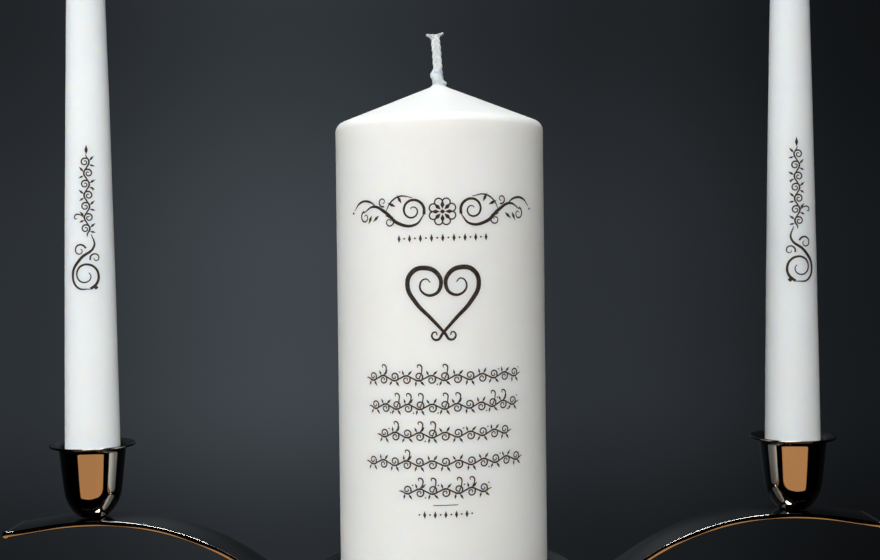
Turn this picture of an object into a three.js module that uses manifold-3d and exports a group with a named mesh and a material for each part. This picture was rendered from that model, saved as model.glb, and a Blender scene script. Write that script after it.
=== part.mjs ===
// A unity candle set: one pillar candle and two taper candles on a plated stand.
// Millimetres, +Z up. The origin is on the table under the stand's centre, the arms run along X,
// and the printed fronts of the candles face -Y. Left means -X.
import * as THREE from 'three';
import { mergeVertices } from 'three/addons/utils/BufferGeometryUtils.js';
import Module from 'manifold-3d';

const GAP = 0.3; // left between pieces that rest on each other or fit in each other
const DEGREE = Math.PI / 180;

// The arm band: one flat strip, bent into a low centre and two crests that carry the taper cups.
const BAND_WIDTH = 20;
const BAND_THICKNESS = 2;
const BAND_TOP = 52; // height of the strip's upper face at the centre
const CENTRE_FLAT = 27.3; // half the length of the level stretch under the pillar
const RISE_RADIUS = 40;
const RAMP_LENGTH = 26.8;
const STEEPEST = 34 * DEGREE;
const CREST_RADIUS = 95;
const TIP_RADIUS = 130;
const TIP_DROP = 9.3 * DEGREE;
const TIP_LENGTH = 12.6; // of the straight run to the rolled end
const TIP_BEAD_RADIUS = 1.4;
const CREST_HEIGHT = BAND_TOP
  + (RISE_RADIUS + CREST_RADIUS) * (1 - Math.cos(STEEPEST))
  + RAMP_LENGTH * Math.sin(STEEPEST);
const CUP_X = 129.3; // from the centre to each taper's axis

// The weighted base and the stem.
const FELT_THICKNESS = 1.5;
const BASE_RADIUS = 64;
const BASE_WALL = 1.2;
const BASE_BOTTOM = FELT_THICKNESS + GAP;
const DOME_EDGE = 60;
const DOME_CENTRE = 12;
const DOME_FOOT = BASE_BOTTOM + 2.2;
const BASE_TOP = 15;
const BORE = 3.4; // clearance hole for the centre bolt
const STEM_TOP = BAND_TOP - BAND_THICKNESS - GAP;

// The pillar plate.
const SPACER_THICKNESS = 2.4;
const PLATE_BOTTOM = BAND_TOP + GAP + SPACER_THICKNESS + GAP;
const PLATE_THICKNESS = 1.5;
const PLATE_FLOOR = PLATE_BOTTOM + PLATE_THICKNESS;
const PLATE_MOUTH = 41.5; // inner radius of the upright wall
const PLATE_RIM = 48.8;
const PLATE_DEPTH = 12.6;

// The taper cups.
const CUP_BOTTOM = CREST_HEIGHT + GAP;
const CUP_HEIGHT = 24.9; // to where the lip turns out
const CUP_RADIUS = 12;
const CUP_WALL = 1;
const CUP_FLOOR = CUP_WALL + 0.2;
const LIP_RADIUS = 15.5;
const SCREW_RADIUS = 1.9;
const SCREW_HOLE = SCREW_RADIUS + GAP;

// The pillar candle.
const PILLAR_RADIUS = 38.1;
const PILLAR_HEIGHT = 190;
const PILLAR_BOTTOM = PLATE_FLOOR + GAP;
const PILLAR_TOP = PILLAR_BOTTOM + PILLAR_HEIGHT;
const CONE_SLOPE = 22.2 * DEGREE;
const RECESS_RADIUS = 16;
const RECESS_DEPTH = 4;
const PILLAR_WICK = 1.65;
const PILLAR_WICK_OUT = 19.6;

// The taper candles.
const TAPER_SEAT = 4.8; // of the taper's end above the cup's underside
const TAPER_BOTTOM = CUP_BOTTOM + TAPER_SEAT;
const TAPER_BASE = 9.95; // radius at the lip
const TAPER_DRAFT = 0.0128; // radius lost in each millimetre above the lip
const TAPER_SWELL = 0.0000325; // and the part of it that grows with the height squared
const TAPER_LIP = CUP_BOTTOM + CUP_HEIGHT + 0.5;
const TAPER_NECK_HEIGHT = TAPER_LIP + 215;
const TAPER_TOP = TAPER_NECK_HEIGHT + 18;
const TAPER_WICK = 0.95;
const TAPER_WICK_OUT = 9;

// The printed films stand a gap off the wax and are a quarter of a millimetre thick.
const FILM = 0.25;

const wasm = await Module();
wasm.setup();

// Booleans: a geometry as a manifold solid, and back.
function solidOf(geometry) {
  const bare = geometry.index ? geometry.toNonIndexed() : geometry.clone();
  bare.deleteAttribute('normal');
  bare.deleteAttribute('uv');
  const merged = mergeVertices(bare, 1e-4);
  return new wasm.Manifold(new wasm.Mesh({
    numProp: 3,
    vertProperties: merged.attributes.position.array,
    triVerts: new Uint32Array(merged.index.array),
  }));
}

function geometryOf(solid) {
  const { vertProperties, triVerts } = solid.getMesh();
  const geometry = new THREE.BufferGeometry();
  geometry.setAttribute('position', new THREE.BufferAttribute(vertProperties, 3));
  geometry.setIndex(new THREE.BufferAttribute(triVerts, 1));
  geometry.computeVertexNormals();
  return geometry;
}

// A solid turned about the Z axis from a path of (radius, height), counter-clockwise.
function turned(path, sides, steps = 4) {
  return new THREE.LatheGeometry(path.getPoints(steps), sides).rotateX(Math.PI / 2);
}

function pathFrom(radius, height) {
  return new THREE.Path().moveTo(radius, height);
}

// A flat ring, such as a washer.
function ring(inner, outer, low, high, sides = 32) {
  const path = pathFrom(inner, low);
  path.lineTo(outer, low);
  path.lineTo(outer, high);
  path.lineTo(inner, high);
  path.closePath();
  return turned(path, sides);
}

function rod(radius, low, high, sides = 20) {
  return new THREE.CylinderGeometry(radius, radius, high - low, sides)
    .rotateX(Math.PI / 2)
    .translate(0, 0, (low + high) / 2);
}

// A hexagonal prism, given across its flats.
function hexagon(acrossFlats, low, high) {
  return rod(acrossFlats / 2 / Math.cos(30 * DEGREE), low, high, 6);
}

function hexNut(acrossFlats, hole, low, high) {
  const bore = solidOf(rod(hole, low - 1, high + 1));
  return geometryOf(solidOf(hexagon(acrossFlats, low, high)).subtract(bore));
}

// Base: felt, spun cover, weight inside it, and the nut that pulls the stand together.
function baseFelt() {
  return ring(14, 60, 0, FELT_THICKNESS, 48);
}

function baseCover() {
  const innerFoot = DOME_EDGE - BASE_WALL;
  const path = pathFrom(innerFoot, BASE_BOTTOM);
  path.absarc(BASE_RADIUS - 0.8, BASE_BOTTOM + 0.8, 0.8, -Math.PI / 2, Math.PI / 2, false);
  path.lineTo(DOME_EDGE + 1.2, BASE_BOTTOM + 1.6);
  path.absellipse(DOME_CENTRE, DOME_FOOT, DOME_EDGE - DOME_CENTRE, BASE_TOP - DOME_FOOT, 0, Math.PI / 2, false, 0);
  path.lineTo(BORE, BASE_TOP);
  path.lineTo(BORE, BASE_TOP - BASE_WALL);
  path.absellipse(
    DOME_CENTRE, DOME_FOOT, innerFoot - DOME_CENTRE, BASE_TOP - BASE_WALL - DOME_FOOT,
    Math.PI / 2, 0, true, 0,
  );
  path.closePath();
  return turned(path, 48, 3);
}

const POCKET_TOP = 8; // of the nut's pocket in the weight

function baseWeight() {
  const path = pathFrom(10, BASE_BOTTOM);
  path.lineTo(51, BASE_BOTTOM);
  path.lineTo(51, 7.2);
  path.lineTo(34, 11);
  path.lineTo(BORE, 12.2);
  path.lineTo(BORE, POCKET_TOP);
  path.lineTo(10, POCKET_TOP);
  path.closePath();
  return turned(path, 40);
}

const WASHER_BOTTOM = POCKET_TOP - GAP - 1.2;
const NUT_TOP = WASHER_BOTTOM - GAP;
const BOLT_RADIUS = 3;

function baseNut() {
  return hexNut(10, BOLT_RADIUS + GAP, NUT_TOP - 3.6, NUT_TOP);
}

function centreBolt() {
  const head = PLATE_FLOOR + GAP;
  const path = pathFrom(0, NUT_TOP - 4.2);
  path.lineTo(BOLT_RADIUS - 0.5, NUT_TOP - 4.2);
  path.lineTo(BOLT_RADIUS, NUT_TOP - 3.7);
  path.lineTo(BOLT_RADIUS, head);
  path.lineTo(6.5, head);
  path.quadraticCurveTo(6, head + 1.8, 3.4, head + 2);
  path.lineTo(0, head + 2);
  const socket = solidOf(hexagon(4, head + 0.7, head + 3));
  return geometryOf(solidOf(turned(path, 24, 3)).subtract(socket));
}

// A turned stem: a foot, a waist, a ball, a second waist and the pad under the band.
function stem() {
  const low = BASE_TOP + GAP;
  const ball = 32.5;
  const path = pathFrom(BORE, low);
  path.lineTo(12, low);
  path.lineTo(12, low + 1.6);
  path.quadraticCurveTo(6, low + 2.6, 5.6, ball - 8);
  path.absarc(0, ball, 9.2, -52 * DEGREE, 52 * DEGREE, false);
  path.quadraticCurveTo(5.7, STEM_TOP - 2.6, 9.8, STEM_TOP - 1.6);
  path.lineTo(9.8, STEM_TOP);
  path.lineTo(BORE, STEM_TOP);
  path.closePath();
  return turned(path, 28, 3);
}

// The band's middle line from the centre to the right tip, as points with the direction there.
function bandLine() {
  const middle = BAND_TOP - BAND_THICKNESS / 2;
  let x = 0;
  let z = middle;
  let heading = 0;
  const line = [{ x, z, heading }];
  const straight = (length) => {
    x += length * Math.cos(heading);
    z += length * Math.sin(heading);
    line.push({ x, z, heading });
  };
  // A bend to the left has a positive turn.
  const bend = (radius, turn, steps) => {
    const side = Math.sign(turn);
    const cx = x - side * radius * Math.sin(heading);
    const cz = z + side * radius * Math.cos(heading);
    for (let i = 1; i <= steps; i += 1) {
      const at = heading + (turn * i) / steps;
      line.push({ x: cx + side * radius * Math.sin(at), z: cz - side * radius * Math.cos(at), heading: at });
    }
    ({ x, z, heading } = line[line.length - 1]);
  };
  straight(CENTRE_FLAT);
  bend(RISE_RADIUS, STEEPEST, 8);
  straight(RAMP_LENGTH);
  bend(CREST_RADIUS, -STEEPEST, 12);
  bend(TIP_RADIUS, -TIP_DROP, 4);
  straight(TIP_LENGTH);
  return line;
}

function armBand() {
  const line = bandLine();
  const half = BAND_THICKNESS / 2;
  const offset = (p, side) => new THREE.Vector2(
    p.x - side * half * Math.sin(p.heading),
    p.z + side * half * Math.cos(p.heading),
  );
  const tip = line[line.length - 1];
  // The end is rolled into a bead, so it stops a little short of the line's end.
  const bead = [];
  for (let i = 0; i <= 6; i += 1) {
    const at = tip.heading + (135 - 45 * i) * DEGREE;
    bead.push(new THREE.Vector2(
      tip.x + TIP_BEAD_RADIUS * Math.cos(at),
      tip.z + TIP_BEAD_RADIUS * Math.sin(at),
    ));
  }
  const inner = line.slice(1, -1);
  const right = [
    ...inner.map((p) => offset(p, 1)),
    ...bead,
    ...inner.map((p) => offset(p, -1)).reverse(),
  ];
  const mirrored = right.map((p) => new THREE.Vector2(-p.x, p.y)).reverse();
  const strip = new THREE.ExtrudeGeometry(new THREE.Shape([...right, ...mirrored]), {
    depth: BAND_WIDTH,
    bevelEnabled: false,
  }).rotateX(Math.PI / 2).translate(0, BAND_WIDTH / 2, 0);
  let solid = solidOf(strip).subtract(solidOf(rod(BORE, BAND_TOP - 6, BAND_TOP + 6)));
  for (const side of [-1, 1]) {
    const hole = rod(SCREW_HOLE, CREST_HEIGHT - 6, CREST_HEIGHT + 6).translate(side * CUP_X, 0, 0);
    solid = solid.subtract(solidOf(hole));
  }
  return geometryOf(solid);
}

// The pillar plate: a shallow cup with a turned-out lip.
function pillarPlate() {
  const fillet = 4;
  const lipTurn = 2.4;
  const rimTop = PLATE_FLOOR + PLATE_DEPTH;
  const wall = PLATE_THICKNESS;
  const lipLow = rimTop - 1.6; // where the lip leaves the upright wall
  const path = pathFrom(BORE, PLATE_BOTTOM);
  path.lineTo(PLATE_MOUTH - fillet, PLATE_BOTTOM);
  path.absarc(PLATE_MOUTH - fillet, PLATE_FLOOR + fillet, fillet + wall, -Math.PI / 2, 0, false);
  path.lineTo(PLATE_MOUTH + wall, lipLow - lipTurn);
  path.absarc(PLATE_MOUTH + wall + 1.2, lipLow - lipTurn, 1.2, Math.PI, Math.PI / 2, true);
  path.lineTo(PLATE_RIM - 0.7, rimTop - 1.2);
  path.absarc(PLATE_RIM - 0.6, rimTop - 0.6, 0.6, -Math.PI / 2, Math.PI / 2, false);
  path.lineTo(PLATE_MOUTH + 2.6, lipLow);
  path.quadraticCurveTo(PLATE_MOUTH, lipLow - 0.3, PLATE_MOUTH, lipLow - lipTurn - 0.6);
  path.lineTo(PLATE_MOUTH, PLATE_FLOOR + fillet);
  path.absarc(PLATE_MOUTH - fillet, PLATE_FLOOR + fillet, fillet, 0, -Math.PI / 2, true);
  path.lineTo(BORE, PLATE_FLOOR);
  path.closePath();
  return turned(path, 44, 2);
}

// A taper cup: a bell with a flat underside and a thin lip turned out at its mouth.
function taperCup() {
  const z = (height) => CUP_BOTTOM + height;
  const path = pathFrom(SCREW_HOLE, z(0));
  path.lineTo(5.6, z(0));
  path.bezierCurveTo(6.6, z(0.7), 9, z(3.8), 9.95, z(7.2));
  path.bezierCurveTo(10.5, z(9.2), 11.1, z(15.5), CUP_RADIUS, z(CUP_HEIGHT - 0.6));
  path.lineTo(LIP_RADIUS - 0.5, z(CUP_HEIGHT + 0.8));
  path.absarc(LIP_RADIUS - 0.45, z(CUP_HEIGHT + 1.25), 0.45, -Math.PI / 2, Math.PI / 2, false);
  path.lineTo(CUP_RADIUS + 0.4, z(CUP_HEIGHT + 0.5));
  path.quadraticCurveTo(11, z(CUP_HEIGHT + 0.2), 10.95, z(CUP_HEIGHT - 2));
  path.bezierCurveTo(10.15, z(15.5), 9.45, z(9.4), 8.95, z(7.6));
  path.bezierCurveTo(8, z(4.4), 6.6, z(2.3), 4.6, z(CUP_FLOOR));
  path.lineTo(SCREW_HOLE, z(CUP_FLOOR));
  path.closePath();
  return turned(path, 32, 4);
}

// The screw under each cup: a thin head with a shallow hexagonal socket, and a plain shank.
const HEAD_TOP = CREST_HEIGHT - BAND_THICKNESS - GAP - 0.2;

function cupScrew() {
  const low = HEAD_TOP - 1;
  const path = pathFrom(0, low);
  path.lineTo(2.8, low);
  path.quadraticCurveTo(3.6, low + 0.1, 3.6, HEAD_TOP - 0.2);
  path.lineTo(3.6, HEAD_TOP);
  path.lineTo(SCREW_RADIUS, HEAD_TOP);
  path.lineTo(SCREW_RADIUS, CUP_BOTTOM + 4.4);
  path.lineTo(0, CUP_BOTTOM + 4.4);
  const socket = solidOf(hexagon(2, low - 1, low + 0.6));
  return geometryOf(solidOf(turned(path, 20, 3)).subtract(socket));
}

function cupNut() {
  const low = CUP_BOTTOM + CUP_FLOOR + GAP;
  return hexNut(7, SCREW_HOLE, low, low + 2.4);
}

// The pillar: a cylinder with a low cone, bored for the wick and hollowed a little underneath.
const TAB_TOP = PILLAR_BOTTOM + RECESS_DEPTH - GAP;

function pillarWax() {
  const apex = 2.6;
  const edge = PILLAR_TOP - (PILLAR_RADIUS - apex) * Math.tan(CONE_SLOPE);
  const soft = 2.7; // length of wax taken up by the rounded shoulder on each side
  const bore = PILLAR_WICK + GAP;
  const ferruleBore = 3.2;
  const recessTop = PILLAR_BOTTOM + RECESS_DEPTH;
  const path = pathFrom(RECESS_RADIUS, PILLAR_BOTTOM);
  path.lineTo(PILLAR_RADIUS - 1.5, PILLAR_BOTTOM);
  path.quadraticCurveTo(PILLAR_RADIUS, PILLAR_BOTTOM, PILLAR_RADIUS, PILLAR_BOTTOM + 1.5);
  path.lineTo(PILLAR_RADIUS, edge - soft);
  path.quadraticCurveTo(
    PILLAR_RADIUS, edge,
    PILLAR_RADIUS - soft * Math.cos(CONE_SLOPE), edge + soft * Math.sin(CONE_SLOPE),
  );
  path.lineTo(apex, PILLAR_TOP);
  path.lineTo(bore, PILLAR_TOP);
  path.lineTo(bore, recessTop + 6);
  path.lineTo(ferruleBore, recessTop + 6);
  path.lineTo(ferruleBore, recessTop);
  path.lineTo(RECESS_RADIUS, recessTop);
  path.closePath();
  return turned(path, 44, 3);
}

// A wick, flared at its cut end.
function wick(radius, low, high, flare) {
  const path = pathFrom(0, low);
  path.lineTo(radius, low);
  path.lineTo(radius, high - 3 * radius);
  path.lineTo(radius * flare, high);
  path.lineTo(0, high);
  return turned(path, 12);
}

// The stamped tab that holds the pillar's wick: a thin disc with a short neck.
function wickTab() {
  const inner = PILLAR_WICK + GAP;
  const path = pathFrom(inner, TAB_TOP - 0.5);
  path.lineTo(10, TAB_TOP - 0.5);
  path.lineTo(10, TAB_TOP);
  path.lineTo(inner + 0.9, TAB_TOP);
  path.lineTo(inner + 0.9, TAB_TOP + 5);
  path.lineTo(inner, TAB_TOP + 5);
  path.closePath();
  return turned(path, 24);
}

function taperRadius(height) {
  const above = height - TAPER_LIP;
  return TAPER_BASE - TAPER_DRAFT * above - TAPER_SWELL * above * above;
}

function taperWax() {
  const bore = TAPER_WICK + GAP;
  const bands = 8;
  const path = pathFrom(bore, TAPER_BOTTOM);
  path.lineTo(7, TAPER_BOTTOM);
  path.lineTo(7.8, TAPER_BOTTOM + 0.8);
  for (let i = 0; i <= bands; i += 1) {
    const height = TAPER_LIP + ((TAPER_NECK_HEIGHT - TAPER_LIP) * i) / bands;
    path.lineTo(taperRadius(height), height);
  }
  path.bezierCurveTo(5.1, TAPER_NECK_HEIGHT + 7, 3.8, TAPER_TOP - 2.5, bore + 0.4, TAPER_TOP);
  path.lineTo(bore, TAPER_TOP);
  path.closePath();
  return turned(path, 28, 5);
}

// A printed film: a thin sleeve cut down to the part that faces the front.
function film(low, lowRadius, high, highRadius, halfAngle) {
  const path = pathFrom(lowRadius + GAP, low);
  path.lineTo(lowRadius + GAP + FILM, low);
  path.lineTo(highRadius + GAP + FILM, high);
  path.lineTo(highRadius + GAP, high);
  path.closePath();
  const sleeve = solidOf(turned(path, 72));
  const reach = 4 * lowRadius;
  const wedge = new THREE.Shape([
    new THREE.Vector2(0, 0),
    new THREE.Vector2(-reach * Math.sin(halfAngle), -reach * Math.cos(halfAngle)),
    new THREE.Vector2(reach * Math.sin(halfAngle), -reach * Math.cos(halfAngle)),
  ]);
  const front = new THREE.ExtrudeGeometry(wedge, { depth: high - low + 2, bevelEnabled: false })
    .translate(0, 0, low - 1);
  return geometryOf(sleeve.intersect(solidOf(front)));
}

const nickel = new THREE.MeshStandardMaterial({ color: 0xb9b7b2, metalness: 1, roughness: 0.08 });
const steel = new THREE.MeshStandardMaterial({ color: 0x8c8d8f, metalness: 1, roughness: 0.35 });
const iron = new THREE.MeshStandardMaterial({ color: 0x3c3c3e, metalness: 1, roughness: 0.7 });
const felt = new THREE.MeshStandardMaterial({ color: 0x1c1d20, metalness: 0, roughness: 1 });
const ivoryWax = new THREE.MeshStandardMaterial({ color: 0xefece2, metalness: 0, roughness: 0.45 });
const whiteWax = new THREE.MeshStandardMaterial({ color: 0xf1f3f3, metalness: 0, roughness: 0.4 });
const cotton = new THREE.MeshStandardMaterial({ color: 0xf2f1ec, metalness: 0, roughness: 0.9 });
const filmInk = new THREE.MeshStandardMaterial({ color: 0x2a211d, metalness: 0, roughness: 0.6 });

const set = new THREE.Group();

function add(parent, name, geometry, material) {
  const mesh = new THREE.Mesh(geometry, material);
  mesh.name = name;
  parent.add(mesh);
}

function addStand() {
  add(set, 'base_felt', baseFelt(), felt);
  add(set, 'base_cover', baseCover(), nickel);
  add(set, 'base_weight', baseWeight(), iron);
  add(set, 'base_washer', ring(BORE, 8, WASHER_BOTTOM, POCKET_TOP - GAP), steel);
  add(set, 'base_nut', baseNut(), steel);
  add(set, 'centre_bolt', centreBolt(), steel);
  add(set, 'stem', stem(), nickel);
  add(set, 'arm_band', armBand(), nickel);
  add(set, 'plate_spacer', ring(BORE, 9.5, BAND_TOP + GAP, BAND_TOP + GAP + SPACER_THICKNESS), nickel);
  add(set, 'pillar_plate', pillarPlate(), nickel);
}

function addPillar() {
  const low = PILLAR_BOTTOM + 27;
  const wickTop = PILLAR_TOP + PILLAR_WICK_OUT;
  add(set, 'pillar_wax', pillarWax(), ivoryWax);
  add(set, 'pillar_wick', wick(PILLAR_WICK, TAB_TOP - 0.3, wickTop, 1.5), cotton);
  add(set, 'pillar_wick_tab', wickTab(), steel);
  add(set, 'pillar_print', film(low, PILLAR_RADIUS, low + 130, PILLAR_RADIUS, 72 * DEGREE), filmInk);
}

// The cup, its fixings and its candle, on one side of the stand.
function addArm(name, side) {
  const arm = new THREE.Group();
  arm.position.x = side * CUP_X;
  set.add(arm);
  add(arm, `taper_cup_${name}`, taperCup(), nickel);
  add(arm, `cup_nut_${name}`, cupNut(), steel);
  add(arm, `cup_screw_${name}`, cupScrew(), steel);
  add(arm, `taper_wax_${name}`, taperWax(), whiteWax);
  add(arm, `taper_wick_${name}`, wick(TAPER_WICK, TAPER_BOTTOM, TAPER_TOP + TAPER_WICK_OUT, 1.3), cotton);
  const low = TAPER_LIP + 51;
  const high = TAPER_LIP + 115;
  const print = film(low, taperRadius(low), high, taperRadius(high), 65 * DEGREE);
  add(arm, `taper_print_${name}`, print, filmInk);
}

addStand();
addPillar();
addArm('left', -1);
addArm('right', 1);

export default set;
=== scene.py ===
import math
import random

import bmesh
import bpy
from mathutils import Matrix, Vector, noise
from mathutils.geometry import interpolate_bezier


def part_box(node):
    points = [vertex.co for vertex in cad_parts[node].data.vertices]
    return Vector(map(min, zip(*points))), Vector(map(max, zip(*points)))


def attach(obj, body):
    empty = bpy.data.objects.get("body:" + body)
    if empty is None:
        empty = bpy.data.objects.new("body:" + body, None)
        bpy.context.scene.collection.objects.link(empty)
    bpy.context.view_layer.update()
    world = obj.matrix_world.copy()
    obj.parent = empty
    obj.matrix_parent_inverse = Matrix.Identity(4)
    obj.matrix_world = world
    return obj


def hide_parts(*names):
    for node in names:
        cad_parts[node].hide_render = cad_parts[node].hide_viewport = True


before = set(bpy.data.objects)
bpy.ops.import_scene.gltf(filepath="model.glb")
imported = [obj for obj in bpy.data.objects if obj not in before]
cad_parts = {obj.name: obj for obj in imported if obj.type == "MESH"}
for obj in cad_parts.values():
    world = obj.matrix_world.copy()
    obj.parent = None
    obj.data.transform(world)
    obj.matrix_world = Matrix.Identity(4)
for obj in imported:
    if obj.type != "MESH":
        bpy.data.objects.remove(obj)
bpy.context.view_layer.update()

# Shapes are drawn in millimetres and brought to metres when a piece is settled.
MM = 0.001
GAP = 0.3  # between two pieces that rest on each other
SIDES = {"left": -1, "right": 1}


# ---------------------------------------------------------------- finishes


class Finish:
    """A finish being mixed: a shader and the patterns that feed it, all on object coordinates."""

    def __init__(self, name, settings):
        self.material = bpy.data.materials.new(name)
        self.material.use_nodes = True
        self.nodes = self.material.node_tree.nodes
        self.links = self.material.node_tree.links
        self.shader = self.nodes["Principled BSDF"]
        self.place = self.nodes.new("ShaderNodeTexCoord").outputs["Object"]
        self.normal = None
        for socket, value in settings.items():
            self.shader.inputs[socket].default_value = value

    def feed(self, texture, scale, stretch):
        mapping = self.nodes.new("ShaderNodeMapping")
        mapping.inputs["Scale"].default_value = stretch
        texture.inputs["Scale"].default_value = scale
        self.links.new(self.place, mapping.inputs["Vector"])
        self.links.new(mapping.outputs["Vector"], texture.inputs["Vector"])

    def grain(self, scale, stretch=(1, 1, 1), detail=4.0):
        texture = self.nodes.new("ShaderNodeTexNoise")
        texture.inputs["Detail"].default_value = detail
        self.feed(texture, scale, stretch)
        return texture.outputs["Fac"]

    def cells(self, scale, stretch=(1, 1, 1)):
        texture = self.nodes.new("ShaderNodeTexVoronoi")
        self.feed(texture, scale, stretch)
        return texture.outputs["Distance"]

    def colours(self, pattern, low, high, start=0.3, stop=0.7):
        ramp = self.nodes.new("ShaderNodeValToRGB")
        for stopping, place, colour in zip(ramp.color_ramp.elements, (start, stop), (low, high)):
            stopping.position = place
            stopping.color = (*colour, 1.0)
        self.links.new(pattern, ramp.inputs["Fac"])
        self.links.new(ramp.outputs["Color"], self.shader.inputs["Base Color"])

    def roughness(self, pattern, low, high):
        spread = self.nodes.new("ShaderNodeMapRange")
        limits = {"From Min": 0.3, "From Max": 0.7, "To Min": low, "To Max": high}
        for socket, value in limits.items():
            spread.inputs[socket].default_value = value
        self.links.new(pattern, spread.inputs["Value"])
        self.links.new(spread.outputs["Result"], self.shader.inputs["Roughness"])

    def relief(self, pattern, depth_mm, strength=1.0):
        bump = self.nodes.new("ShaderNodeBump")
        bump.inputs["Distance"].default_value = depth_mm * MM
        bump.inputs["Strength"].default_value = strength
        self.links.new(pattern, bump.inputs["Height"])
        if self.normal:
            self.links.new(self.normal, bump.inputs["Normal"])
        self.normal = bump.outputs["Normal"]
        self.links.new(self.normal, self.shader.inputs["Normal"])


def polished_nickel():
    finish = Finish("polished_nickel", {"Metallic": 1.0})
    finish.colours(finish.grain(30), (0.56, 0.525, 0.48), (0.64, 0.61, 0.57))
    finish.roughness(finish.grain(120, detail=6), 0.03, 0.085)
    finish.relief(finish.grain(14, detail=1), 0.02, 0.25)
    finish.relief(finish.grain(900, (1, 1, 14), detail=5), 0.0015, 0.35)
    return finish.material


def fastener_steel():
    finish = Finish("fastener_steel", {"Metallic": 1.0})
    finish.colours(finish.grain(160), (0.36, 0.36, 0.37), (0.5, 0.5, 0.5))
    finish.roughness(finish.grain(500, (1, 1, 9)), 0.25, 0.42)
    finish.relief(finish.grain(1500, (1, 1, 12)), 0.01, 0.5)
    return finish.material


def wick_tab_tin():
    finish = Finish("wick_tab_tin", {"Metallic": 1.0})
    finish.colours(finish.cells(420), (0.5, 0.5, 0.49), (0.68, 0.68, 0.66), 0.1, 0.6)
    finish.roughness(finish.grain(400), 0.22, 0.4)
    finish.relief(finish.grain(900), 0.01, 0.5)
    return finish.material


def cast_weight():
    finish = Finish("cast_weight", {"Metallic": 0.6})
    finish.colours(finish.grain(120), (0.03, 0.03, 0.033), (0.075, 0.074, 0.074))
    finish.roughness(finish.grain(300), 0.55, 0.8)
    finish.relief(finish.cells(700), 0.15, 0.6)
    finish.relief(finish.grain(220, detail=8), 0.3, 0.5)
    return finish.material


def felt():
    finish = Finish("felt", {"Sheen Weight": 0.5, "Sheen Roughness": 0.6})
    finish.colours(finish.grain(900, detail=8), (0.012, 0.013, 0.016), (0.05, 0.052, 0.06))
    finish.roughness(finish.grain(200), 0.85, 1.0)
    finish.relief(finish.grain(2600, (1, 1, 3), detail=8), 0.35, 0.9)
    return finish.material


def wax(name, dark, pale):
    """Wax that light goes into, with faint clouds, a satin skin and shallow waves."""
    finish = Finish(name, {
        "Subsurface Weight": 0.7,
        "Subsurface Radius": (1.0, 0.8, 0.6),
        "Subsurface Scale": 7 * MM,
        "IOR": 1.4,
    })
    finish.colours(finish.grain(24, detail=7), dark, pale)
    finish.roughness(finish.grain(70, detail=6), 0.46, 0.58)
    finish.relief(finish.grain(45, detail=2), 0.16, 0.3)
    finish.relief(finish.grain(1300, detail=5), 0.012, 0.5)
    return finish.material


def cotton_wick():
    finish = Finish("cotton_wick", {
        "Subsurface Weight": 0.4,
        "Subsurface Radius": (1.0, 0.9, 0.8),
        "Subsurface Scale": 1 * MM,
        "Sheen Weight": 0.2,
    })
    finish.colours(finish.grain(700, (1, 1, 0.3)), (0.82, 0.82, 0.81), (0.93, 0.93, 0.92))
    finish.roughness(finish.grain(500), 0.6, 0.85)
    finish.relief(finish.grain(3200, (1, 1, 0.22), detail=6), 0.04, 0.4)
    return finish.material


def print_ink():
    finish = Finish("print_ink", {"IOR": 1.45})
    finish.colours(finish.grain(900, detail=6), (0.012, 0.009, 0.008), (0.06, 0.045, 0.036))
    finish.roughness(finish.grain(400), 0.42, 0.6)
    finish.relief(finish.grain(2500), 0.01, 0.4)
    return finish.material


FINISHES = {
    "polished_nickel": polished_nickel(),
    "fastener_steel": fastener_steel(),
    "wick_tab_tin": wick_tab_tin(),
    "cast_weight": cast_weight(),
    "felt": felt(),
    "ivory_wax": wax("ivory_wax", (0.83, 0.815, 0.785), (0.88, 0.87, 0.845)),
    "white_wax": wax("white_wax", (0.81, 0.83, 0.84), (0.87, 0.885, 0.895)),
    "cotton_wick": cotton_wick(),
    "print_ink": print_ink(),
}


# ------------------------------------------------------- making a piece


def corners(node):
    """A CAD node's lowest and highest corners, in millimetres."""
    low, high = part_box(node)
    return low / MM, high / MM


def polar(radius, degrees, x=0.0, y=0.0):
    """The point at a radius and an angle about (x, y)."""
    angle = math.radians(degrees)
    return x + radius * math.cos(angle), y + radius * math.sin(angle)


def arc(x, z, radius, start, end, steps):
    """Points on an arc about (x, z), from one angle to another in degrees."""
    return [polar(radius, start + (end - start) * i / steps, x, z) for i in range(steps + 1)]


def sweep(start, first, second, end, steps):
    """Points on a Bezier curve."""
    knots = map(Vector, (start, first, second, end))
    return [tuple(point) for point in interpolate_bezier(*knots, steps + 1)]


def span(start, end, count):
    """Evenly spaced points on a straight line."""
    return [tuple(Vector(start).lerp(Vector(end), i / count)) for i in range(count + 1)]


def turned(outline, steps=128):
    """A solid spun about the z axis from its closed outline of (radius, height) points."""
    bm = bmesh.new()
    points = [bm.verts.new((radius, 0, height)) for radius, height in outline]
    edges = [bm.edges.new(pair) for pair in zip(points, points[1:] + points[:1])]
    bmesh.ops.spin(bm, geom=points + edges, cent=(0, 0, 0), axis=(0, 0, 1),
                   angle=math.tau, steps=steps, use_merge=True)
    bmesh.ops.remove_doubles(bm, verts=bm.verts, dist=1e-4)
    bmesh.ops.recalc_face_normals(bm, faces=bm.faces)
    return bm


def settle(bm, name, slot, body, *nodes, x=0.0, crease=35):
    """Brings a shape to metres and to its place along x, gives it its finish and its body."""
    bmesh.ops.translate(bm, verts=bm.verts, vec=(x, 0, 0))
    bmesh.ops.scale(bm, verts=bm.verts, vec=(MM, MM, MM))
    for face in bm.faces:
        face.smooth = True
    for edge in bm.edges:
        edge.smooth = edge.calc_face_angle(0) < math.radians(crease)
    mesh = bpy.data.meshes.new(name)
    bm.to_mesh(mesh)
    bm.free()
    mesh.materials.append(FINISHES[slot])
    piece = bpy.data.objects.new(name, mesh)
    bpy.context.scene.collection.objects.link(piece)
    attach(piece, body)
    if nodes:
        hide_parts(*nodes)


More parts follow.
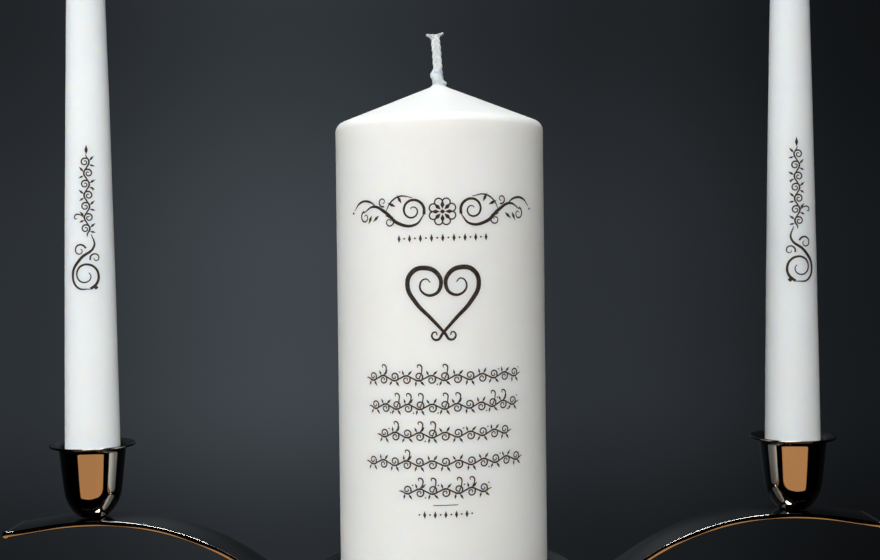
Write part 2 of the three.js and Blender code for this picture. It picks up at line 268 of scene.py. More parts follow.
def rounded_copy(name, node, slot, body, rounding=0.15):
    """A CAD solid with its doubled corners merged, its flats made whole and its edges rounded."""
    bm = bmesh.new()
    bm.from_mesh(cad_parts[node].data)
    bmesh.ops.scale(bm, verts=bm.verts, vec=(1 / MM, 1 / MM, 1 / MM))
    bmesh.ops.remove_doubles(bm, verts=bm.verts, dist=1e-3)
    bmesh.ops.dissolve_limit(bm, angle_limit=math.radians(1), verts=bm.verts, edges=bm.edges)
    sharp = [edge for edge in bm.edges if edge.calc_face_angle(0) > math.radians(32)]
    bmesh.ops.bevel(bm, geom=sharp, offset=rounding, segments=2, profile=0.5, affect="EDGES",
                    material=-1, clamp_overlap=True)
    settle(bm, name, slot, body, node)


# ------------------------------------------------------- base and stem

BASE_LOW, BASE_HIGH = corners("base_cover")
FELT_LOW, FELT_HIGH = corners("base_felt")
STEM_LOW, STEM_HIGH = corners("stem")
BORE = 3.4  # for the bolt that ties the stand together
FELT_BORE = 14
DOME_EDGE = 60
DOME_CENTRE = 12
DOME_STEPS = 40
COVER_WALL = 1.2
STEM_BALL_RADIUS = 9.2
STEM_BALL_HEIGHT = 32.5


def felt_ring():
    """The flat ring under the base, with soft outer edges."""
    edge = 0.5
    outline = [(FELT_BORE, FELT_LOW.z), (FELT_HIGH.x - edge, FELT_LOW.z)]
    outline += arc(FELT_HIGH.x - edge, FELT_LOW.z + edge, edge, -90, 0, 3)
    outline += arc(FELT_HIGH.x - edge, FELT_HIGH.z - edge, edge, 0, 90, 3)
    outline += [(FELT_BORE, FELT_HIGH.z)]
    settle(turned(outline), "felt_ring", "felt", "stand", "base_felt")


def base_dome():
    """The spun cover: a rolled foot bead, a step, and a quarter-round rise to the flat top."""
    foot, top = BASE_LOW.z, BASE_HIGH.z
    bead = 0.8
    spring = foot + 2.2
    run, rise = DOME_EDGE - DOME_CENTRE, top - spring
    outline = [(DOME_EDGE - COVER_WALL, foot)]
    outline += arc(BASE_HIGH.x - bead, foot + bead, bead, -90, 90, 12)
    outline += sweep((61.4, foot + 2 * bead), (60.5, foot + 2 * bead),
                     (60.1, foot + 1.8), (DOME_EDGE, spring), 5)
    rounds = arc(0, 0, 1, 0, 90, DOME_STEPS)
    outline += [(DOME_CENTRE + run * c, spring + rise * s) for c, s in rounds]
    outline += [(BORE, top), (BORE, top - COVER_WALL)]
    outline += [
        (DOME_CENTRE + (run - COVER_WALL) * c, spring + (rise - COVER_WALL) * s)
        for c, s in reversed(rounds)
    ]
    settle(turned(outline, 192), "base_dome", "polished_nickel", "stand", "base_cover")


def turned_stem():
    """Foot, waist, ball between two fillets, second waist and the pad under the strip."""
    low, high = STEM_LOW.z, STEM_HIGH.z
    ball = STEM_BALL_HEIGHT
    outline = [(BORE, low), (11.6, low)]
    outline += arc(11.5, low + 0.5, 0.5, -90, 0, 4)
    outline += arc(11.5, low + 1.2, 0.5, 0, 90, 4)
    outline += sweep((11.2, low + 1.8), (7.4, low + 2.4),
                     (5.8, low + 4.6), (5.6, ball - 8.4), 14)
    outline += arc(0, ball, STEM_BALL_RADIUS, -50, 50, 28)
    outline += sweep((5.7, ball + 8.2), (5.6, high - 5.5),
                     (6.4, high - 2.6), (9.0, high - 1.8), 10)
    outline += arc(9.3, high - 1.2, 0.5, -80, 0, 4)
    outline += arc(9.3, high - 0.5, 0.5, 0, 90, 4)
    outline += [(BORE, high)]
    settle(turned(outline), "turned_stem", "polished_nickel", "stand", "stem")


# ------------------------------------------------------- the arm strip

BAND_LOW, BAND_HIGH = corners("arm_band")
BAND_THICKNESS = 2
CENTRE_FLAT = 27.3
RISE_RADIUS = 40
RAMP_LENGTH = 26.8
STEEPEST = math.radians(34)
CREST_RADIUS = 95
TIP_RADIUS = 130
TIP_DROP = math.radians(9.3)
TIP_LENGTH = 12.6
TIP_BEAD = 1.4
BAND_EDGE = 0.4


def centre_height():
    """The height of the strip's middle line where it is level, over the top of the stem."""
    return STEM_HIGH.z + GAP + BAND_THICKNESS / 2


def band_line():
    """The strip's middle line from the centre to the right tip, as (x, z, heading)."""
    line = [(CENTRE_FLAT, centre_height(), 0.0)]

    def bend(radius, turn):
        x, z, heading = line[-1]
        side = math.copysign(radius, turn)
        cx, cz = x - side * math.sin(heading), z + side * math.cos(heading)
        steps = round(abs(math.degrees(turn)))
        for i in range(1, steps + 1):
            at = heading + turn * i / steps
            line.append((cx + side * math.sin(at), cz - side * math.cos(at), at))

    def straight(length):
        x, z, heading = line[-1]
        line.append((x + length * math.cos(heading), z + length * math.sin(heading), heading))

    bend(RISE_RADIUS, STEEPEST)
    straight(RAMP_LENGTH)
    bend(CREST_RADIUS, -STEEPEST)
    bend(TIP_RADIUS, -TIP_DROP)
    straight(TIP_LENGTH)
    return line


def arm_strip():
    """The flat strip from tip to tip, cut from its side outline, with beads rolled at the tips."""
    line = band_line()

    def offset(half):
        return [
            (x - half * math.sin(heading), z + half * math.cos(heading))
            for x, z, heading in line[:-1]
        ]

    tip_x, tip_z, heading = line[-1]
    turn = math.degrees(heading)
    right = offset(BAND_THICKNESS / 2)
    right += arc(tip_x, tip_z, TIP_BEAD, turn + 135, turn - 135, 18)
    right += offset(-BAND_THICKNESS / 2)[::-1]
    outline = right + [(-x, z) for x, z in reversed(right)]
    bm = bmesh.new()
    face = bm.faces.new([bm.verts.new((x, BAND_LOW.y, z)) for x, z in outline])
    pushed = bmesh.ops.extrude_face_region(bm, geom=[face], use_keep_orig=True)["geom"]
    far = [part for part in pushed if isinstance(part, bmesh.types.BMVert)]
    bmesh.ops.translate(bm, verts=far, vec=(0, BAND_HIGH.y - BAND_LOW.y, 0))
    bmesh.ops.recalc_face_normals(bm, faces=bm.faces)
    rims = [edge for edge in bm.edges if abs(edge.verts[0].co.y - edge.verts[1].co.y) < 0.01]
    bmesh.ops.bevel(bm, geom=rims, offset=BAND_EDGE, segments=8, profile=0.5, affect="EDGES",
                    material=-1, clamp_overlap=True)
    settle(bm, "arm_strip", "polished_nickel", "stand", "arm_band")


# ------------------------------------------------------- plate and cups

PLATE_LOW, PLATE_HIGH = corners("pillar_plate")
PLATE_WALL = 1.5
PLATE_MOUTH = 41.5
PLATE_FILLET = 4
SCREW_HOLE = 2.2


def candle_plate():
    """Flat floor, rounded foot, upright wall and a lip that flares to a rolled edge."""
    floor, rim, reach = PLATE_LOW.z + PLATE_WALL, PLATE_HIGH.z, PLATE_HIGH.x
    fillet = (PLATE_MOUTH - PLATE_FILLET, floor + PLATE_FILLET)
    outline = [(BORE, PLATE_LOW.z)]
    outline += arc(*fillet, PLATE_FILLET + PLATE_WALL, -90, 0, 14)
    outline += sweep((PLATE_MOUTH + PLATE_WALL, rim - 4.4), (PLATE_MOUTH + PLATE_WALL, rim - 2.9),
                     (PLATE_MOUTH + 3.0, rim - 2.3), (reach - 0.9, rim - 1.3), 14)
    outline += arc(reach - 0.65, rim - 0.65, 0.65, -80, 100, 12)
    outline += sweep((reach - 1.1, rim - 0.15), (PLATE_MOUTH + 2.6, rim - 1.0),
                     (PLATE_MOUTH, rim - 1.9), (PLATE_MOUTH, rim - 4.2), 14)
    outline += arc(*fillet, PLATE_FILLET, 0, -90, 14)
    outline += [(BORE, floor)]
    settle(turned(outline, 192), "candle_plate", "polished_nickel", "stand", "pillar_plate")


def taper_cup(side):
    """A bell on a flat foot, with a thin lip turned out at its mouth."""
    node = f"taper_cup_{side}"
    low, high = corners(node)
    centre = (low.x + high.x) / 2
    reach = high.x - centre

    def z(height):
        return low.z + height

    outline = [(SCREW_HOLE, z(0))]
    outline += sweep((5.4, z(0)), (6.6, z(0.6)), (9.0, z(3.8)), (9.95, z(7.2)), 18)
    outline += sweep((10.0, z(7.4)), (10.5, z(9.2)), (11.1, z(15.5)), (11.93, z(23.4)), 18)
    outline += sweep((11.96, z(23.8)), (12.05, z(24.9)), (12.6, z(25.3)), (reach - 0.6, z(25.7)), 8)
    outline += arc(reach - 0.45, z(26.15), 0.45, -80, 95, 10)
    outline += sweep((reach - 0.6, z(26.58)), (12.8, z(26.0)),
                     (11.05, z(25.6)), (10.98, z(23.1)), 10)
    outline += sweep((10.95, z(22.9)), (10.15, z(15.5)), (9.45, z(9.4)), (8.95, z(7.6)), 14)
    outline += sweep((8.88, z(7.4)), (8.0, z(4.4)), (6.6, z(2.3)), (4.6, z(1.2)), 12)
    outline += [(SCREW_HOLE, z(1.2))]
    settle(turned(outline), f"bell_cup_{side}", "polished_nickel", "stand", node, x=centre)


# ------------------------------------------------------- candles

PILLAR_LOW, PILLAR_HIGH = corners("pillar_wax")
PILLAR_RADIUS = PILLAR_HIGH.x
CONE_SLOPE = math.radians(22.2)
SHOULDER = 3.5
APEX = 2.6
FOOT_ROUND = 1.5
RECESS_RADIUS = 16
RECESS_DEPTH = 4
RIPPLE = 0.06
RIPPLE_LENGTH = 21.0
TAPER_LIP = 20.6  # from the taper's foot to the top of its cup
TAPER_NECK = 215  # from there to where the tip begins
TAPER_BASE = 9.95
TAPER_DRAFT = 0.0128
TAPER_SWELL = 0.0000325


def uneven(point):
    """How far poured or dipped wax stands back from its true face at a point, in millimetres."""
    return RIPPLE * (noise.noise(point / RIPPLE_LENGTH) - 1.0)


def roughen(bm, beyond, centre=0.0):
    """Moves a candle's face by its unevenness where it is farther than this from its axis."""
    for vert in bm.verts:
        out = Vector((vert.co.x - centre, vert.co.y, 0))
        if out.length > beyond:
            vert.co += out.normalized() * uneven(vert.co)


def pillar_candle():
    """A bored cylinder with a soft shoulder and a low cone that rises a little to the wick."""
    low, high = PILLAR_LOW.z, PILLAR_HIGH.z
    turn = math.pi / 2 - CONE_SLOPE
    shoulder_end = PILLAR_RADIUS - SHOULDER + SHOULDER * math.cos(turn)
    cone_foot = high - (shoulder_end - APEX) * math.tan(CONE_SLOPE)
    shoulder = cone_foot - SHOULDER * math.sin(turn)
    outline = [(RECESS_RADIUS, low + RECESS_DEPTH), (RECESS_RADIUS, low)]
    outline += span((20, low), (PILLAR_RADIUS - FOOT_ROUND, low), 4)
    outline += arc(PILLAR_RADIUS - FOOT_ROUND, low + FOOT_ROUND, FOOT_ROUND, -90, 0, 6)
    outline += span((PILLAR_RADIUS, low + 4), (PILLAR_RADIUS, shoulder - 2), 76)
    outline += arc(PILLAR_RADIUS - SHOULDER, shoulder, SHOULDER, 0, math.degrees(turn), 12)
    cone_start = (shoulder_end - 1.5, cone_foot + 1.5 * math.tan(CONE_SLOPE))
    outline += span(cone_start, (5, high - 1.0), 18)
    outline += sweep((4.4, high - 0.75), (3.2, high - 0.25),
                     (2.6, high + 0.1), (2.25, high + 0.9), 6)
    outline += [(1.4, high + 0.9), (1.4, high - 8), (1.95, high - 9), (1.95, low + 10)]
    outline += [(3.2, low + 10), (3.2, low + RECESS_DEPTH)]
    bm = turned(outline, 192)
    roughen(bm, RECESS_RADIUS + 1)
    settle(bm, "pillar_candle_body", "ivory_wax", "pillar_candle", "pillar_wax", crease=50)


def taper_radius(foot):
    """Gives a taper's radius at a height: a draft and a slow swell over the lip of its cup."""
    lip = foot + TAPER_LIP
    return lambda z: TAPER_BASE - TAPER_DRAFT * (z - lip) - TAPER_SWELL * (z - lip) ** 2


def taper_candle(side):
    """A bored taper: a foot that sits in the cup, a long drafted body and a drawn tip."""
    node = f"taper_wax_{side}"
    low, high = corners(node)
    centre = (low.x + high.x) / 2
    foot, top = low.z, high.z
    lip = foot + TAPER_LIP
    neck = lip + TAPER_NECK
    radius = taper_radius(foot)
    outline = [(1.25, foot), (6.7, foot)]
    outline += arc(6.8, foot + 1.0, 1.0, -90, -10, 5)
    outline += [(8.1, foot + 4)]
    outline += [(radius(lip + rise), lip + rise) for rise in range(0, TAPER_NECK + 1, 3)]
    outline += sweep((radius(neck), neck + 1), (5.1, neck + 7),
                     (3.8, top - 2.2), (1.9, top - 0.2), 14)
    outline += sweep((1.7, top), (1.5, top + 0.3), (1.35, top + 0.7), (1.25, top + 1.2), 3)
    outline += [(0.8, top + 1.2), (0.8, top - 6), (1.25, top - 7)]
    bm = turned(outline, 96)
    bmesh.ops.translate(bm, verts=bm.verts, vec=(centre, 0, 0))
    roughen(bm, 3, centre)
    settle(bm, f"taper_candle_{side}", "white_wax", f"taper_{side}", node, crease=50)


# ------------------------------------------------------- wicks

STRANDS = 3
BEATS = 12  # knots of a strand in each pitch of the braid
FREE_LENGTH = 20.0  # of wick that leans
PILLAR_BRAID = {
    "width": 0.8, "depth": 0.4, "strand": 1.0, "pitch": 7.0, "fan": 1.05, "fibres": 240,
}
TAPER_BRAID = {
    "width": 0.36, "depth": 0.2, "strand": 0.45, "pitch": 3.8, "fan": 0.45, "fibres": 50,
}
PILLAR_LEAN = -1.2
TAPER_LEAN = 0.4
CRUST_LUMPS = (  # for each lump: its bearing, its height, how far it spreads and how thick it is
    (180, 4.3, 1.3, 0.95), (5, 1.3, 0.9, 1.0), (70, 2.2, 1.0, 0.45), (250, 2.8, 1.1, 0.4),
)


def from_curve(curve):
    """A curve's solid as a bmesh, still in millimetres."""
    drawn = bpy.data.objects.new("drawn", curve)
    bpy.context.scene.collection.objects.link(drawn)
    mesh = bpy.data.meshes.new_from_object(drawn)
    bpy.data.objects.remove(drawn)
    bm = bmesh.new()
    bm.from_mesh(mesh)
    bpy.data.meshes.remove(mesh)
    return bm


def new_curve(depth):
    """An empty curve that is drawn as a round rod."""
    curve = bpy.data.curves.new("drawn", "CURVE")
    curve.dimensions = "3D"
    curve.bevel_depth = depth
    curve.bevel_resolution = 1
    curve.resolution_u = 5
    curve.use_fill_caps = True
    return curve


def add_thread(curve, points):
    """A thread through (x, y, z, thickness) points."""
    spline = curve.splines.new("POLY")
    spline.points.add(len(points) - 1)
    for knot, (x, y, z, thickness) in zip(spline.points, points):
        knot.co = (x, y, z, 1)
        knot.radius = thickness


def braided_wick(name, node, body, width, depth, strand, pitch, lean, fan, fibres):
    """A core with three strands plaited round it, fanned out in a tuft where it was cut."""
    low, high = corners(node)
    centre = (low.x + high.x) / 2
    core_width = 0.75 * (width + strand)
    curve = new_curve(strand)
    step = pitch / BEATS
    tuft = 2.2 * fan
    count = round((high.z - tuft * 0.85 - low.z) / step)

    def sway(z):
        return lean * max(0.0, (z - high.z + FREE_LENGTH) / FREE_LENGTH) ** 1.5

    core = span((low.z + core_width, 0), (high.z - tuft, 0), 24)
    add_thread(curve, [(centre + sway(z), 0, z, core_width / strand) for z, _ in core])
    for k in range(STRANDS):
        phase = math.tau * k / STRANDS
        thread = []
        for i in range(count + 1):
            z = low.z + strand + i * step
            beat = math.tau * i / BEATS + phase
            across, deep = width * math.sin(beat), depth * math.sin(2 * beat)
            thread.append((centre + sway(z) + across, deep, z, 1.0))
        add_thread(curve, thread)
    chance = random.Random(node)
    for _ in range(fibres):
        fibre = tuft_fibre(chance, width + strand, tuft, fan)
        thread = [
            (centre + sway(high.z) + x, y, high.z + z, thickness / strand)
            for x, y, z, thickness in fibre
        ]
        add_thread(curve, thread)
    settle(from_curve(curve), name, "cotton_wick", body, node, crease=70)


def tuft_fibre(chance, reach, tuft, fan, steps=5):
    """One cut fibre that bends outward, as (x, y, z, thickness) points about the wick's end."""
    across, deep = math.sin(chance.uniform(-1.5, 1.5)), chance.uniform(-1, 1)
    ragged = chance.uniform(-0.08, 0.08)
    rise = 0.3 * fan * across + 0.25 * fan * across ** 2 - 0.45 * fan + ragged
    fibre = []
    for i in range(steps + 1):
        t = i / steps
        spread = 0.8 + (fan - 0.1) * t ** 2.4
        y = 0.62 * reach * deep * (0.7 + 0.5 * t * t)
        fibre.append((reach * across * spread, y, (tuft + rise) * t - tuft, 0.26 - 0.1 * t))
    return fibre


def wick_crust():
    """Wax that clings round the foot of the wick, with a lump on each side."""
    foot = PILLAR_HIGH.z
    start, end = foot - 0.4, foot + 6.4
    outline = [(1.2, start)] + span((2.3, start), (1.65, end), 26) + [(1.2, end)]
    bm = turned(outline, 48)
    for vert in bm.verts:
        out = Vector((vert.co.x, vert.co.y, 0))
        if out.length < 1.4:
            continue
        angle = math.degrees(math.atan2(vert.co.y, vert.co.x))
        grow = 0.28 * noise.noise(vert.co * 1.1) + 0.12 * noise.noise(vert.co * 3.0)
        for toward, height, spread, size in CRUST_LUMPS:
            apart = (angle - toward + 180) % 360 - 180
            rise = vert.co.z - foot - height
            grow += size * math.exp(-(apart / 34) ** 2 - (rise / spread) ** 2)
        vert.co += out.normalized() * grow
        vert.co.x -= 0.1 * max(0.0, vert.co.z - foot) ** 0.8
    settle(bm, "wick_crust", "ivory_wax", "pillar_candle", crease=70)


def cone_crumbs():
    """A few crumbs of wax left on the cone beside the wick."""
    chance = random.Random(11)
    bm = bmesh.new()
    for _ in range(7):
        angle, out = chance.uniform(-0.9, 0.7), chance.uniform(9, 17)
        height = PILLAR_HIGH.z - (out - APEX) * math.tan(CONE_SLOPE)
        place = Matrix.Translation((out * math.cos(angle), out * math.sin(angle), height))
        squash = Matrix.Diagonal((1, chance.uniform(0.7, 1.2), 0.6, 1))
        bmesh.ops.create_icosphere(bm, subdivisions=2, radius=chance.uniform(0.2, 0.36),
                                   matrix=place @ squash)
    settle(bm, "cone_crumbs", "ivory_wax", "pillar_candle", crease=80)


# ------------------------------------------------------- printed ornament
#
# A stroke is a list of (along, up, half width) in millimetres, drawn flat and then laid on the wax.

INK_LIFT = 0.02
INK_BODY = 0.1


def lay_strokes(name, strokes, body, node, radius, centre=0.0, facing=0.0):
    """Draws the strokes and wraps them round a candle of a given radius at each height."""
    curve = new_curve(1.0)
    for stroke in strokes:
        spline = curve.splines.new("BEZIER")
        spline.bezier_points.add(len(stroke) - 1)
        for knot, (along, up, half) in zip(spline.bezier_points, stroke):
            knot.co = (along, up, 0)
            knot.radius = half
            knot.handle_left_type = knot.handle_right_type = "AUTO"
    bm = from_curve(curve)
    for vert in bm.verts:
        along, up, out = vert.co
        angle = math.radians(facing) + along / radius(up)
        way = Vector((math.sin(angle), -math.cos(angle), 0))
        on_face = way * radius(up) + Vector((centre, 0, up))
        vert.co = on_face + way * (uneven(on_face) + INK_LIFT + INK_BODY * out)
    bmesh.ops.recalc_face_normals(bm, faces=bm.faces)
    settle(bm, name, "print_ink", body, node, crease=80)


def placed(strokes, x=0.0, y=0.0, scale=1.0, turn=0.0, flip=False):
    """A motif moved, turned and mirrored."""
    c, s = polar(1, turn)
    way = -1 if flip else 1

    def moved(along, up, half):
        along *= way
        return x + scale * (along * c - up * s), y + scale * (along * s + up * c), half * scale

    return [[moved(*knot) for knot in stroke] for stroke in strokes]


def swelling(points, thin, thick):
    """A stroke through points that is thickest in its middle."""
    last = len(points) - 1
    return [
        (x, y, thin + (thick - thin) * math.sin(math.pi * i / last))
        for i, (x, y) in enumerate(points)
    ]


def leaf(x, y, length, angle, half):
    """A stroke from a stalk at (x, y) that is fullest just before its middle."""
    middle, tip = polar(0.45 * length, angle, x, y), polar(length, angle, x, y)
    return [(x, y, 0.06), (*middle, half), (*tip, 0.03)]


def bead(x, y, radius):
    """A round dot at (x, y)."""
    return [(x - radius, y, radius * 0.3), (x, y, radius), (x + radius, y, radius * 0.3)]


def scroll(x, y, outer, inner, start, turn, thick, thin):
    """A spiral that winds in from its outer to its inner radius."""
    steps = max(5, round(abs(turn) / 35))
    stroke = []
    for i in range(steps + 1):
        t = i / steps
        radius, half = outer + (inner - outer) * t, thick + (thin - thick) * t
        stroke.append((*polar(radius, start + turn * t, x, y), half))
    return stroke


def vine(half_length, chance, wave=8.6, swing=0.85):
    """A waved stem with a curl in each hollow, leaves on each crest, and a few tall curls."""
    count = round(2 * half_length / (wave / 2))
    pitch = 2 * half_length / count
    stem, strokes = [(-half_length - 0.8, 0, 0.1)], []
    for i in range(count):
        side = 1 if i % 2 else -1
        x = -half_length + (i + 0.5) * pitch
        crest = side * (swing + 0.1)
        stem += [(x - pitch / 2, 0, 0.24), (x, side * swing, 0.3)]
        strokes.append(scroll(x, -side * 0.55, 1.45, 0.3, side * 30, -side * 430, 0.27, 0.16))
        strokes.append(leaf(x - 0.9, crest, 1.9, side * chance.uniform(95, 125), 0.36))
        strokes.append(leaf(x + 0.5, crest, 2.3, side * chance.uniform(40, 62), 0.4))
        if chance.random() < 0.3:
            curl = [(0, swing * side), (1.1, 2.6), (0.9, 4.2), (-0.3, 4.4), (-0.3, 3.5)]
            strokes.append(swelling([(x + along, up) for along, up in curl], 0.12, 0.26))
        if chance.random() < 0.45:
            strokes.append(bead(x + 2.0, -side * 2.1, 0.28))
    stem += [(half_length, 0, 0.2), (half_length + 0.8, 0.3, 0.1)]
    return [stem, *strokes]


def flourish():
    """Half of the heading: a large thick-and-thin scroll with leaves that runs out to the side."""
    stem = [(5.5, -0.9), (8.5, -4.2), (14.5, -3.6), (19.5, 0.4), (24.5, 2.6), (29.0, 0.6)]
    strokes = [
        scroll(9.5, 0.6, 4.3, 0.8, 200, -520, 0.5, 0.16),
        swelling(stem, 0.16, 0.6),
        scroll(28.4, -0.9, 2.2, 0.5, 75, -400, 0.34, 0.14),
        scroll(18.0, -2.9, 1.9, 0.5, 115, 420, 0.3, 0.14),
        scroll(20.6, 4.0, 1.7, 0.45, 250, 380, 0.28, 0.14),
        swelling([(9.5, 5.0), (14.0, 5.6), (17.5, 3.6), (19.3, 0.6)], 0.12, 0.3),
        swelling([(22.6, 1.9), (26.5, 4.4), (31.0, 4.2), (34.2, 1.6)], 0.12, 0.42),
        bead(34.9, 0.8, 0.5),
    ]
    leaves = (
        (13.4, 3.2, 62), (15.6, 2.2, 24), (16.4, -1.4, 12), (22.2, -0.6, -38), (25.3, -0.4, -62),
    )
    return strokes + [leaf(x, y, 3.3, angle, 0.55) for x, y, angle in leaves]


def rosette():
    """Petals round a bead, inside a ring of small arches."""
    strokes = [bead(0, 0, 0.75)]
    for angle in range(0, 360, 45):
        strokes.append(leaf(*polar(1.0, angle), 2.9, angle, 0.68))
        strokes.append(scroll(*polar(3.35, angle + 22.5), 1.35, 1.35, angle - 80, 205, 0.24, 0.24))
    return strokes


def scroll_heart():
    """A heart of two strokes, each curled in at its lobe and curled out past the point."""
    stroke = [
        (-2.3, -11.2, 0.2), (-2.9, -10.1, 0.26), (-4.0, -10.6, 0.3), (-3.9, -12.2, 0.36),
        (-2.2, -12.8, 0.42), (-0.4, -10.6, 0.5), (4.3, -5.4, 0.62), (9.8, 0.4, 0.76),
        (12.7, 6.2, 0.84), (11.0, 10.9, 0.84), (6.5, 12.3, 0.84), (2.0, 10.2, 0.78),
        (0.9, 6.0, 0.66), (3.2, 3.0, 0.52), (6.8, 3.4, 0.42), (8.2, 6.4, 0.32),
        (6.2, 8.5, 0.25), (4.5, 7.2, 0.17),
    ]
    return [stroke, [(-x, y, half) for x, y, half in stroke]]


def bead_row(half_length, pitch=1.9):
    """A row of lozenges and beads by turns."""
    strokes = []
    count = int(half_length // pitch)
    for i in range(-count, count + 1):
        x = i * pitch
        strokes.append(bead(x, 0, 0.36) if i % 2 else leaf(x, -1.3, 2.6, 90, 0.55))
    return strokes


PRINT_SHIFT = 0.8
PRINT_SLOPE = math.tan(math.radians(0.9))
HEADING = 199.4  # heights above the table
UPPER_BEADS = 190.6
HEART = 168.6
VINE_ROWS = ((28.5, 143.3), (27.5, 133.6), (24.0, 124.0), (29.0, 114.4), (15.5, 104.9))
RULE = 100.2
LOWER_BEADS = 97.0
TAPER_MOTIF = 173.4
LEFT_TAPER_TURN = 10


def pillar_ornament():
    """Heading, heart, five rows of vine and a tailpiece, printed a little askew."""
    strokes = placed(rosette(), y=HEADING)
    for way in (1, -1):
        strokes += placed(flourish(), x=0.8 * way, y=HEADING, flip=way < 0)
    strokes += placed(bead_row(17.0), y=UPPER_BEADS)
    strokes += placed(scroll_heart(), y=HEART, scale=0.97)
    chance = random.Random(5)
    for half_length, height in VINE_ROWS:
        strokes += placed(vine(half_length, chance), y=height)
    strokes.append([(along, RULE, 0.14) for along in (-4.2, 0, 4.2)])
    strokes += placed(bead_row(11.0), y=LOWER_BEADS, scale=0.95)
    strokes = [
        [(along + PRINT_SHIFT, up + PRINT_SLOPE * along, half) for along, up, half in stroke]
        for stroke in strokes
    ]
    lay_strokes("pillar_ornament", strokes, "pillar_candle", "pillar_print",
                lambda up: PILLAR_RADIUS)


def taper_motif():
    """An upright spray: a large swash with a ball at its foot, and a vine that climbs from it."""
    swash = [(1.2, 0.6), (-3.6, 1.2), (-5.6, 6.0), (-2.4, 11.6), (2.6, 16.2), (1.6, 20.4)]
    strokes = [
        scroll(-0.6, 5.6, 5.2, 1.5, -70, 470, 0.5, 0.16),
        swelling(swash, 0.14, 0.55),
        bead(3.0, 1.2, 0.8),
        scroll(-2.6, 14.6, 2.4, 0.6, 20, 400, 0.34, 0.14),
        scroll(3.0, 11.8, 2.0, 0.5, 200, -380, 0.3, 0.14),
    ]
    climber = vine(13.4, random.Random(3), wave=8.2, swing=0.9)
    strokes += placed(climber, x=0.2, y=34.5, turn=90, scale=1.05)
    strokes += placed([leaf(0, 0, 3.4, 90, 0.6)], x=0.2, y=49.4)
    return strokes


def taper_ornament(side):
    """The spray on a taper's front, mirrored on the right and turned a little on the left."""
    low, high = corners(f"taper_wax_{side}")
    strokes = placed(taper_motif(), y=TAPER_MOTIF, flip=side == "right")
    lay_strokes(f"taper_ornament_{side}", strokes, f"taper_{side}", f"taper_print_{side}",
                taper_radius(low.z), centre=(low.x + high.x) / 2,
                facing=LEFT_TAPER_TURN if side == "left" else 0)


# ------------------------------------------------------- putting it together

felt_ring()
base_dome()
turned_stem()
arm_strip()
candle_plate()
rounded_copy("spacer_ring", "plate_spacer", "polished_nickel", "stand", 0.3)
rounded_copy("weight_ring", "base_weight", "cast_weight", "stand", 0.4)
rounded_copy("weight_washer", "base_washer", "fastener_steel", "stand")
rounded_copy("tie_nut", "base_nut", "fastener_steel", "stand")
rounded_copy("tie_bolt", "centre_bolt", "fastener_steel", "stand")
pillar_candle()
wick_crust()
cone_crumbs()
braided_wick("pillar_braid", "pillar_wick", "pillar_candle", lean=PILLAR_LEAN, **PILLAR_BRAID)
rounded_copy("pillar_tab", "pillar_wick_tab", "wick_tab_tin", "pillar_candle", 0.1)
pillar_ornament()
for side, way in SIDES.items():
    taper_cup(side)
    rounded_copy(f"seat_nut_{side}", f"cup_nut_{side}", "fastener_steel", "stand")
    rounded_copy(f"socket_screw_{side}", f"cup_screw_{side}", "fastener_steel", "stand")
    taper_candle(side)
    braided_wick(f"taper_braid_{side}", f"taper_wick_{side}", f"taper_{side}",
                 lean=TAPER_LEAN * way, **TAPER_BRAID)
    taper_ornament(side)


# ------------------------------------------------------- floor, backdrop, light and camera

CAMERA_BACK = 0.439
CAMERA_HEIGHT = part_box("pillar_wax")[1].z - 64.4 * MM
CAMERA_X = -0.3 * MM
FOCAL = 48.7
LOOK_DOWN = 0.867
CAMERA_ROLL = -0.65
FLOOR_RADIUS = 0.26
FLOOR_DROP = 0.2 * MM
SURROUND_COLOUR = (0.0525, 0.062, 0.0715)
SURROUND_FALLS = {  # share of that colour at each direction from -1 to 1 along an axis
    "X": ((-0.9, 0.12), (-0.35, 0.5), (-0.13, 1.0), (0.14, 0.5), (0.35, 0.17), (0.9, 0.1)),
    "Y": ((-0.1, 0.05), (0.5, 1.0)),
    "Z": (
        (-0.5, 0.1), (-0.24, 0.42), (-0.1, 0.97), (0.0, 0.95), (0.2, 0.58), (0.32, 0.9), (0.8, 0.5),
    ),
}
DAYLIGHT = (0.945, 0.985, 1.0)
WARM = (1.0, 0.5, 0.2)


def floor():
    """A small round pale table under the set, left out of the polished metal's reflections."""
    bm = bmesh.new()
    bmesh.ops.create_circle(bm, cap_ends=True, segments=128, radius=FLOOR_RADIUS)
    bmesh.ops.translate(bm, verts=bm.verts, vec=(0, 0, -FLOOR_DROP))
    mesh = bpy.data.meshes.new("floor")
    bm.to_mesh(mesh)
    bm.free()
    finish = Finish("pale_floor", {})
    finish.colours(finish.grain(9), (0.62, 0.62, 0.61), (0.66, 0.66, 0.65))
    finish.roughness(finish.grain(60), 0.55, 0.7)
    mesh.materials.append(finish.material)
    disc = bpy.data.objects.new("floor", mesh)
    disc.visible_glossy = False
    bpy.context.scene.collection.objects.link(disc)


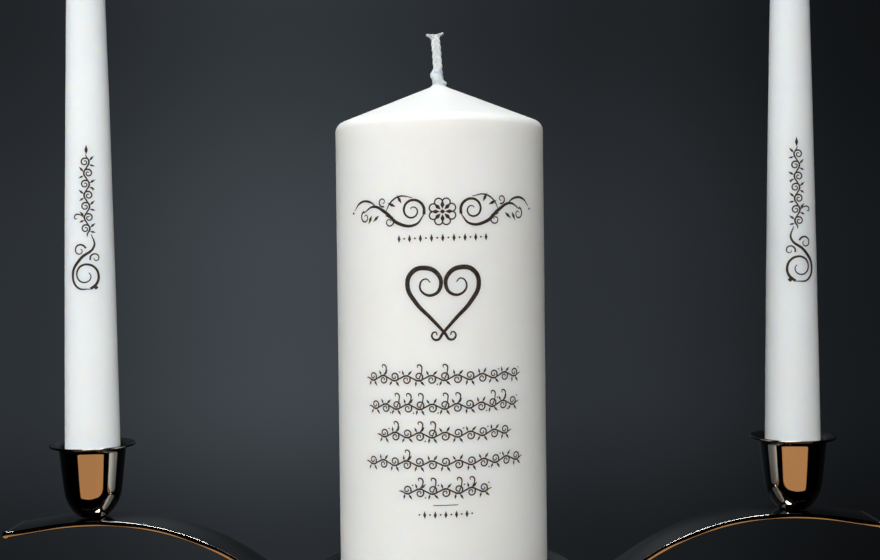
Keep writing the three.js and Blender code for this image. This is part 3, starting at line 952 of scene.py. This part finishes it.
def backdrop():
    """A charcoal surround: a soft pool of light behind the set and black in front of it."""
    world = bpy.data.worlds.new("surround")
    bpy.context.scene.world = world
    world.use_nodes = True
    nodes, links = world.node_tree.nodes, world.node_tree.links
    place = nodes.new("ShaderNodeTexCoord")
    axes = nodes.new("ShaderNodeSeparateXYZ")
    links.new(place.outputs["Generated"], axes.inputs[0])
    tint = nodes.new("ShaderNodeRGB")
    tint.outputs["Color"].default_value = (*SURROUND_COLOUR, 1)
    shade = tint.outputs["Color"]
    for axis, fall in SURROUND_FALLS.items():
        spread = nodes.new("ShaderNodeMapRange")
        spread.inputs["From Min"].default_value = -1
        links.new(axes.outputs[axis], spread.inputs["Value"])
        ramp = nodes.new("ShaderNodeValToRGB")
        ramp.color_ramp.interpolation = "EASE"
        stops = ramp.color_ramp.elements
        for stop, (along, share) in zip(stops, (fall[0], fall[-1])):
            stop.position = (along + 1) / 2
            stop.color = (share, share, share, 1)
        for along, share in fall[1:-1]:
            stops.new((along + 1) / 2).color = (share, share, share, 1)
        links.new(spread.outputs["Result"], ramp.inputs["Fac"])
        both = nodes.new("ShaderNodeVectorMath")
        both.operation = "MULTIPLY"
        links.new(shade, both.inputs[0])
        links.new(ramp.outputs["Color"], both.inputs[1])
        shade = both.outputs["Vector"]
    links.new(shade, nodes["Background"].inputs["Color"])


def softbox(name, place, aim, width, height, power, colour, spread=180, mirrored=True):
    """A lit panel out of sight; only a mirrored one shows in the polished metal."""
    lamp = bpy.data.lights.new(name, "AREA")
    lamp.shape = "RECTANGLE"
    lamp.size = width
    lamp.size_y = height
    lamp.energy = power
    lamp.spread = math.radians(spread)
    lamp.color = colour
    stand = bpy.data.objects.new(name, lamp)
    stand.location = place
    stand.rotation_euler = (Vector(aim) - Vector(place)).to_track_quat("-Z", "Y").to_euler()
    stand.visible_camera = False
    stand.visible_glossy = mirrored
    bpy.context.scene.collection.objects.link(stand)


def camera():
    """The front view, from between the candle's middle and its top, looking slightly down."""
    lens = bpy.data.cameras.new("camera")
    lens.sensor_width = 36
    lens.lens = FOCAL
    eye = bpy.data.objects.new("camera", lens)
    tilt = Matrix.Rotation(math.radians(90 - LOOK_DOWN), 4, "X")
    roll = Matrix.Rotation(math.radians(CAMERA_ROLL), 4, "Z")
    eye.matrix_world = Matrix.Translation((CAMERA_X, -CAMERA_BACK, CAMERA_HEIGHT)) @ tilt @ roll
    bpy.context.scene.collection.objects.link(eye)
    bpy.context.scene.camera = eye


floor()
backdrop()
softbox("front", (-0.06, -0.79, 0.45), (-0.1, 0, 0.18), 0.45, 0.3, 1.26, DAYLIGHT,
        spread=80, mirrored=False)
softbox("side", (-0.8, -0.14, 0.5), (0, 0, 0.17), 0.4, 0.4, 1.95, DAYLIGHT, mirrored=False)
softbox("overhead", (-0.05, -0.2, 1.15), (-0.05, 0, 0.2), 0.7, 0.14, 6.4, DAYLIGHT)
softbox("back", (0.35, 0.95, 0.7), (0, 0, 0.15), 0.5, 0.5, 1.5, DAYLIGHT, mirrored=False)
softbox("warm_card", (0, -0.45, -0.13), (0, 0, -0.13), 0.96, 0.2, 0.38, WARM)
camera()
bpy.context.scene.view_settings.view_transform = "Standard"
